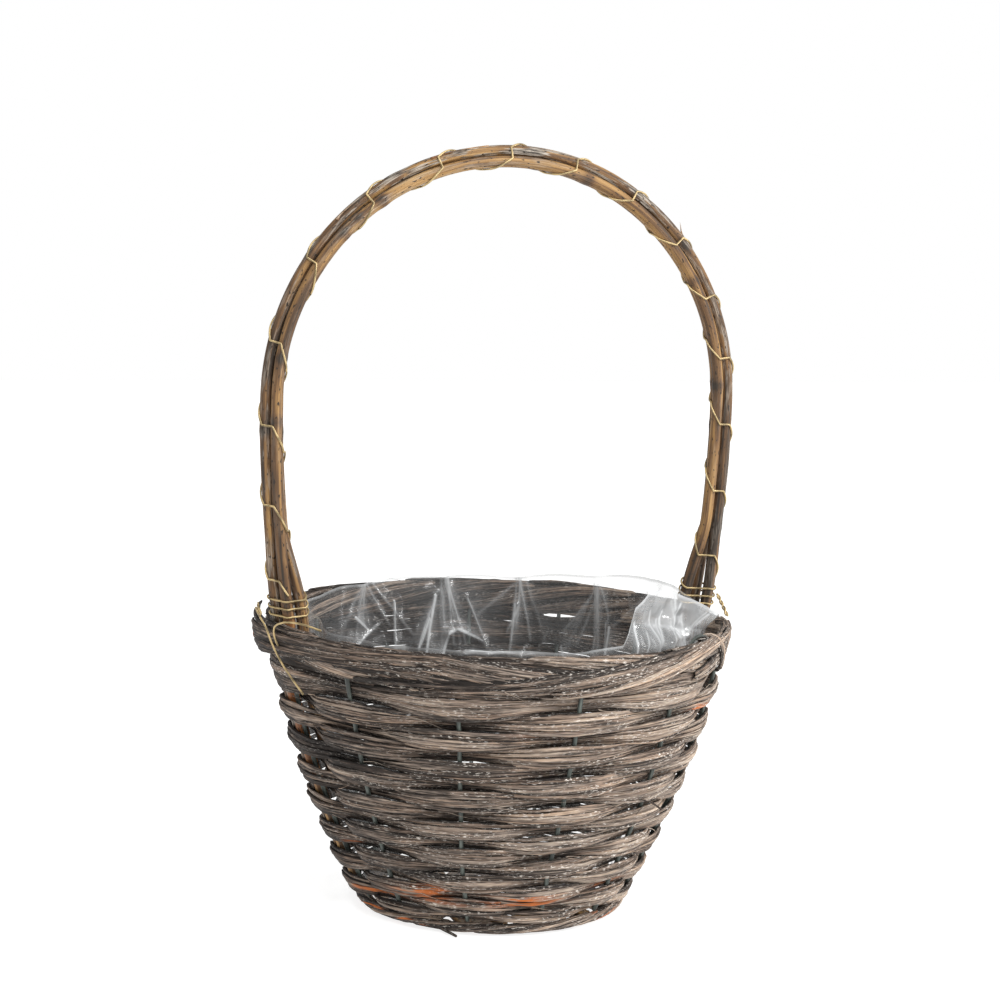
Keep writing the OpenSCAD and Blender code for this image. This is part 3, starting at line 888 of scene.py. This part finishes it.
class BASKET_OT_binding(bpy.types.Operator):
    """Wind the binding wire and tie both legs to the rim"""

    bl_idname = "basket.binding"
    bl_label = "Wind the wire"

    def execute(self, context):
        rng = np.random.default_rng(60)
        lift = mm("wire_thickness") / 2
        top = mm("basket_height")
        side, z, turn, s, d = handle_stations(top + 12, top + 14, 1700)
        u = (d - d[0]) / (d[-1] - d[0])
        p = TAU * WIRE_TURNS * (u - 0.035 * np.sin(np.pi * u) ** 2) - np.pi / 2
        p = p + 0.12 * wander(rng, d, 60)[:, 0]
        out, y = hull_offsets(p, side, z, s, lift)
        surface = Surface()
        add_tube(surface, rng, handle_points(out, y, side, z, turn), lift * 0.92, 8)
        surface.piece("binding_wire", brass_wire(), "handle_binding_wire", slot="binding_wire")
        for name, sign in (("left", -1), ("right", 1)):
            surface = Surface()
            n = 220
            p = np.linspace(0, TAU * 3.2, n) + 1.0
            z = top + np.linspace(13, 1.5, n) + 1.6 * np.sin(p)
            out, y = hull_offsets(p, np.full(n, sign), z, np.full(n, (sign + 1) / 2), lift + 0.2)
            add_tube(surface, rng, np.stack([sign * (leg_x(z) + out), y, z], -1), lift * 0.92, 8)
            for path in tie_ends(sign):
                add_tube(surface, rng, path, lift * 0.92, 8)
            surface.piece(f"tie_{name}", brass_wire(), f"handle_tie_{name}", slot="binding_wire")
        return {"FINISHED"}


# ---------------------------------------------------------------- liner and base

# Arc length for one radian of the film laid flat, its columns, the share of its rows that lie on
# the base, the height of its floor, its gap to the uprights' middle and how far the legs press it
FILM_ROUND = 92.0
FILM_COLUMNS = 660
FLOOR_SHARE = 0.28
FILM_FLOOR = FOOT_H + 2
FILM_GAP, LEG_PRESS = 4.6, 8.5
# The upright gathers low on the film: how many, and how deep
GATHERS, GATHER_DEPTH = 36, 2.7

# Height of the film's cut edge over the rim, and how far the edge leans out, by angle
FILM_EDGE = ((-90, 0.5, 0), (-78, 2, 0), (-73, 18, -4), (-66, 22, -8), (-56, 22, -9), (-46, 16, -4),
             (-38, 8, 6), (-28, 3, 6), (-18, 5, 2), (0, 9, 0), (15, 9, 0), (35, 7, 0), (52, 4, 0),
             (68, 1, 0), (85, 2, 0), (110, 1, 0), (128, -3, -2), (150, -4, -2), (170, 2, -1),
             (184, 3, -2), (205, 0.5, 0), (230, 0, 0), (270, 0.5, 0))

# Creases given one by one: start angle and height, end angle and height, reach, depth, painted highlight
FILM_CREASES = ((88, 130, 93, 92, 7, 2.4, 1.0), (87.5, 92, 84, 111, 6, 2.6, 1.0),
                (84, 111, 81, 113, 6, 2.2, 1.0), (81, 113, 73, 107, 6, 2.0, 1.0),
                (94, 104, 88, 129, 5, 1.8, 0.7), (90, 119, 94, 103, 4, 1.6, 0.9),
                (64, 126, 65, 100, 5, 1.8, 0.6), (63, 124, 66, 112, 4, 1.4, 0.6),
                (33, 119, 34, 88, 7, 2.4, 0.7), (79, 101.5, 54, 101.5, 3, 1.0, 0.9),
                (54, 92.5, 35, 91, 3, 1.2, 1.0), (116, 122, 111, 115, 6, 2.2, 1.0),
                (121, 104, 107, 117, 6, 2.2, 0.8), (101, 128, 102, 88, 5, 1.6, 0.5),
                (78, 128, 72, 104, 6, 1.4, 0.4), (-24, 133, -66, 146, 9, 3.0, 0.5),
                (-25, 132, -68, 137, 8, 2.6, 0.5), (-40, 146, -52, 131, 7, 2.4, 0.6),
                (-72, 148, -73, 122, 5, 2.0, 0.8), (-56, 150, -68, 126, 8, 2.4, 0.5),
                (-30, 140, -45, 133, 6, 2.0, 0.6), (20, 140, 32, 120, 8, 2.4, 0.3),
                (8, 140, 24, 118, 8, 2.4, 0.3), (38, 137, 44, 108, 8, 1.6, 0.3))

# Places on the rim where the film is pinched together: angle, and how far down its folds run
FILM_PINCHES = ((85, 34), (63, 28), (38, 40), (112, 30), (-50, 26), (140, 36), (10, 34), (225, 24))


def crease(x, z, start, end, reach, depth, painted_highlight):
    """A sharp fold along a line on the film laid flat: a ridge that falls off straight to both
    sides over reach, weaker towards its end, a thin white line along its top that is a painted
    highlight, and a veil on the one side where the film lies double."""
    start, end = np.array(start), np.array(end)
    along = end - start
    # The film closes on itself, so the nearer way round to the crease is the one that counts
    turn = TAU * FILM_ROUND
    x = np.mod(x - (start[0] + along[0] / 2) + turn / 2, turn) - turn / 2 + start[0] + along[0] / 2
    share = np.clip(((x - start[0]) * along[0] + (z - start[1]) * along[1]) / (along @ along), 0, 1)
    d = np.hypot(x - start[0] - share * along[0], z - start[1] - share * along[1])
    across = ((x - start[0]) * along[1] - (z - start[1]) * along[0]) / np.hypot(*along)
    fade = 1 - 0.6 * share
    veil = ease(share, 0, 0.1) * (1 - ease(share, 0.6, 1)) * (across > 0) * np.exp(-2.5 * d / reach)
    # The second value is a painted highlight: a thin white line along the crease's top
    return depth * fade * np.clip(1 - d / reach, 0, 1), painted_highlight * fade * np.exp(-(d / 0.6) ** 2), veil


class BASKET_OT_liner(bpy.types.Operator):
    """Make the clear film liner"""

    bl_idname = "basket.liner"
    bl_label = "Fit the film liner"

    def execute(self, context):
        rng = np.random.default_rng(80)
        top = mm("basket_height")
        climb = FLOOR_SHARE + (1 - FLOOR_SHARE) * np.linspace(0, 1, 118) ** 0.75
        s = np.concatenate([np.linspace(0, FLOOR_SHARE, 16)[:-1], climb])[:, None]
        # The columns stand closest together where the film is seen best
        sweep = np.arange(361)
        crowd = np.interp(sweep, (20, 30, 120, 130, 275, 285, 340, 350),
                          (0.5, 1.7, 1.7, 0.5, 0.5, 1.7, 1.7, 0.5))
        crowd = np.append(0, np.cumsum(crowd[1:] + crowd[:-1]))
        a = np.radians(np.interp(np.arange(FILM_COLUMNS) / FILM_COLUMNS, crowd / crowd[-1], sweep))
        floor = np.clip(s / FLOOR_SHARE, 0, 1)
        up = np.clip((s - FLOOR_SHARE) / (1 - FLOOR_SHARE), 0, 1)
        edge = np.array(FILM_EDGE, float)
        place = np.degrees(np.mod(a + np.pi / 2, TAU)) - 90
        rise = np.interp(place, edge[:, 0], edge[:, 1]) + 0.8 * np.sin(11 * a) * np.sin(5 * a + 1)
        lean = np.interp(place, edge[:, 0], edge[:, 2])
        z = FILM_FLOOR + (top + rise - FILM_FLOOR) * up
        x = a * FILM_ROUND + 0 * s
        off_leg = np.minimum(np.mod(a, np.pi), np.pi - np.mod(a, np.pi))
        press = LEG_PRESS * (1 - ease(off_leg, np.radians(8), np.radians(24))) * ease(z, 25, 55)
        wall = mid_r(np.minimum(z, top)) - FILM_GAP - press
        ridge, painted_highlight, veil = np.zeros((3, *wall.shape))
        folds = [(FILM_ROUND * np.radians(c[0]), c[1], FILM_ROUND * np.radians(c[2]), *c[3:])
                 for c in FILM_CREASES]
        for at, deep in FILM_PINCHES:
            for _ in range(9):
                x0 = FILM_ROUND * np.radians(at) + rng.normal(0, 1.5)
                x1, z1 = x0 + rng.normal(0, 12), top - deep * rng.uniform(0.5, 1.2)
                folds.append((x0, top + 2, x1, z1, rng.uniform(3, 7), rng.uniform(0.6, 1.8),
                              rng.uniform(0, 0.4)))
        for i in range(150):
            x0, z0 = rng.uniform(0, TAU * FILM_ROUND), rng.uniform(12, top + 4)
            if i < 40:
                x0, z0 = FILM_ROUND * np.radians(rng.uniform(285, 345)), rng.uniform(top, top + 19)
            long, slant = rng.uniform(12, 55), rng.normal(0, 0.45)
            folds.append((x0, z0, x0 + long * np.sin(slant), z0 - long * np.cos(slant), rng.uniform(4, 13),
                          rng.uniform(0.5, 2.0),
                          max(rng.normal(0, 0.16), 0) + (0.35 * rng.random() if i < 40 else 0)))
        for x0, z0, x1, z1, reach, depth, bright in folds:
            fold, line, double = crease(x, z, (x0, z0), (x1, z1), reach, depth, bright)
            ridge = np.maximum(ridge, fold) + 0.35 * np.minimum(ridge, fold)
            painted_highlight, veil = np.maximum(painted_highlight, line), veil + double * (0.03 + 0.25 * bright)
        # Low down, where the basket narrows, the spare film stands in upright gathers
        gather = 1 + np.sin(GATHERS * a + 1.5 * np.sin(4 * a) + 0.02 * z)
        gather = gather * ease(z, 11, 32) * (1 - ease(z, 90, 114))
        ridge += GATHER_DEPTH * (0.75 + 0.25 * np.sin(5 * a + 1)) * gather
        over = ease(z, top - 3, top + 14)
        r = (wall - ridge * floor) * np.where(s < FLOOR_SHARE, floor, 1) + lean * ease(z, top - 2, top + 10)
        front_flap = ease(np.cos(a + np.radians(48)), 0.86, 0.95)
        folded = over * (0.20 + 0.08 * front_flap)
        cloud = 0.05 * (1 + np.sin(3 * a + 0.05 * z) * np.sin(7 * a - 0.09 * z))
        cut = 0.35 * ease(z, top + rise - 1.6, top + rise - 0.6)
        # The film's milkiness, plus the painted highlight lines along the creases' tops
        milk_and_highlight = 0.05 + cloud * ease(z, 30, top) + folded + cut * up + np.minimum(veil, 0.4) + painted_highlight
        milk_and_highlight = np.clip(milk_and_highlight, 0, 0.97)
        surface = Surface()
        uv = np.stack(np.broadcast_arrays(np.append(x[0], TAU * FILM_ROUND), s * 190), -1)
        surface.sheet(ring_points(a, r, z), uv, np.stack([milk_and_highlight, 0 * milk_and_highlight, 0 * milk_and_highlight], -1))
        piece = surface.piece("film_liner", polythene_film(), "liner", slot="film")
        return {"FINISHED"}


class BASKET_OT_base(bpy.types.Operator):
    """Make the bottom's sticks and the strips woven across them"""

    bl_idname = "basket.base"
    bl_label = "Weave the base"

    def execute(self, context):
        rng = np.random.default_rng(90)
        mid = FOOT_H / 2
        base_r = mm("foot_radius") - 2 * (mm("upright_thickness") / 2 + GAP + mm("strip_thickness")) - GAP
        pitch = 2 * base_r / 7.6
        sticks, weave = Surface(), Surface()
        for k in range(1, 8):
            across = (k - 4) * pitch
            reach = np.sqrt(base_r ** 2 - across ** 2) + 1.5
            q = np.linspace(-reach, reach, 60)
            path = np.stack([np.full(60, across), q, np.full(60, mid)], -1)
            add_strip(sticks, rng, path, np.tile([0.0, 0, 1], (60, 1)), np.full(60, pitch / 4), 1.0,
                      (0.5, 0, 0.4), ends=0.5)
            reach = np.sqrt(base_r ** 2 - across ** 2) + 1.0
            q = np.linspace(-reach, reach, 120)
            c = np.cos(np.pi * (q / pitch + 4 + k))
            path = np.stack([q, np.full(120, across), mid + 2.0 * c * (1.4 - 0.4 * c * c)], -1)
            for part in (-0.5, 0.5):
                shifted = path + np.array([0, part * (pitch / 2 - GAP), 0])
                half_w = np.full(120, pitch / 4 - 0.1)
                add_strip(weave, rng, shifted, np.tile([0.0, 0, 1], (120, 1)), half_w, 0.6,
                          bark_tone(rng, q / 40, np.full(120, 99.0)), ends=0.5, under=0)
        sticks.piece("base_sticks", peeled_willow(), *[f"base_stick_{k}" for k in range(1, 8)], slot="willow")
        weave.piece("base_weave", weathered_bark(), *[f"base_weaver_{k}" for k in range(1, 8)], slot="bark")
        return {"FINISHED"}


# ---------------------------------------------------------------- stage


def aimed(name, data, place, aim, roll=0.0):
    """An object at place that looks towards aim, turned by roll about that line."""
    item = bpy.data.objects.new(name, data)
    item.location = place
    look = (Vector(aim) - Vector(place)).to_track_quat("-Z", "Y")
    item.rotation_euler = (look @ Quaternion((0, 0, 1), np.radians(roll))).to_euler()
    bpy.context.collection.objects.link(item)
    return item


@makes_material("pale_paper_sweep")
def paper_sweep(tree):
    """White paper: a matt sheet whose tone drifts very slightly, lit a little from within so
    that the basket's shadow on it stays faint."""
    drift = add(tree, NOISE, {"Vector": add(tree, "ShaderNodeTexCoord", out=3), "Scale": 2.0})
    shade = add(tree, RAMP, {0: drift}, stops=((0, linear("#ACACAB")), (1, linear("#B2B2B1"))))
    return add(tree, PRINCIPLED, {"Base Color": shade, "Roughness": 0.9, "Emission Color": WHITE,
                                  "Emission Strength": 0.8})


class BASKET_OT_stage(bpy.types.Operator):
    """Set the floor, the soft lights and the camera"""

    bl_idname = "basket.stage"
    bl_label = "Set the stage"

    def execute(self, context):
        corner = 3.0
        mesh = bpy.data.meshes.new("floor")
        ends = (-corner, corner)
        mesh.from_pydata([(x, y, -0.00005) for x in ends for y in ends], [], [(0, 2, 3, 1)])
        mesh.materials.append(paper_sweep())
        floor = bpy.data.objects.new("floor", mesh)
        context.collection.objects.link(floor)
        world = bpy.data.worlds.new("soft_white")
        context.scene.world = world
        world.use_nodes = True
        background = world.node_tree.nodes["Background"]
        background.inputs["Color"].default_value = (1, 1, 1, 1)
        seen = add(world.node_tree, "ShaderNodeLightPath")
        strength = add(world.node_tree, MATH, {0: seen, 1: 1 - AMBIENT, 2: AMBIENT}, operation="MULTIPLY_ADD")
        world.node_tree.links.new(strength, background.inputs["Strength"])
        sun = bpy.data.lights.new("window", "SUN")
        sun.energy, sun.angle = 1.9, np.radians(50)
        aimed("window", sun, (1.0, -0.9, 1.5), (0, 0, 0.1))
        for name, place, size, watts in (("side", (1.3, -0.7, 0.5), 0.35, 7),
                                         ("glint", (-0.1, -1.0, 1.0), 0.3, 6)):
            lamp = bpy.data.lights.new(name, "AREA")
            lamp.size, lamp.energy = size, watts
            aimed(name, lamp, place, (0, 0, 0.13))
        a, distance = np.radians(-21), 1.15
        data = bpy.data.cameras.new("camera")
        data.lens, data.sensor_width = 89.2, 36
        place = (np.sin(a) * distance, -np.cos(a) * distance, 0.335)
        context.scene.camera = aimed("camera", data, place, (-0.0005, 0.0004, 0.1914), roll=1.8)
        context.scene.view_settings.view_transform = "Standard"
        return {"FINISHED"}


class BASKET_PT_panel(bpy.types.Panel):
    """The basket's sizes, colours and makers"""

    bl_idname = "BASKET_PT_panel"
    bl_label = "Basket"
    bl_space_type = "VIEW_3D"
    bl_region_type = "UI"
    bl_category = "Basket"

    def draw(self, context):
        for group in (context.scene.basket_sizes, context.scene.basket_colours):
            box = self.layout.box()
            for name in group.__annotations__:
                box.prop(group, name)
        for operator in MAKERS:
            self.layout.operator(operator.bl_idname)


MAKERS = (BASKET_OT_stage, BASKET_OT_base, BASKET_OT_uprights, BASKET_OT_weave, BASKET_OT_border,
          BASKET_OT_fibres, BASKET_OT_rods, BASKET_OT_binding, BASKET_OT_liner)
CLASSES = (BasketSizes, BasketColours, *MAKERS, BASKET_PT_panel)


def register():
    for c in CLASSES:
        bpy.utils.register_class(c)
    bpy.types.Scene.basket_sizes = bpy.props.PointerProperty(type=BasketSizes)
    bpy.types.Scene.basket_colours = bpy.props.PointerProperty(type=BasketColours)


def unregister():
    del bpy.types.Scene.basket_sizes
    del bpy.types.Scene.basket_colours
    for c in reversed(CLASSES):
        bpy.utils.unregister_class(c)


def main():
    register()
    for operator in MAKERS:
        group, name = operator.bl_idname.split(".")
        getattr(getattr(bpy.ops, group), name)()


if __name__ == "__main__":
    main()
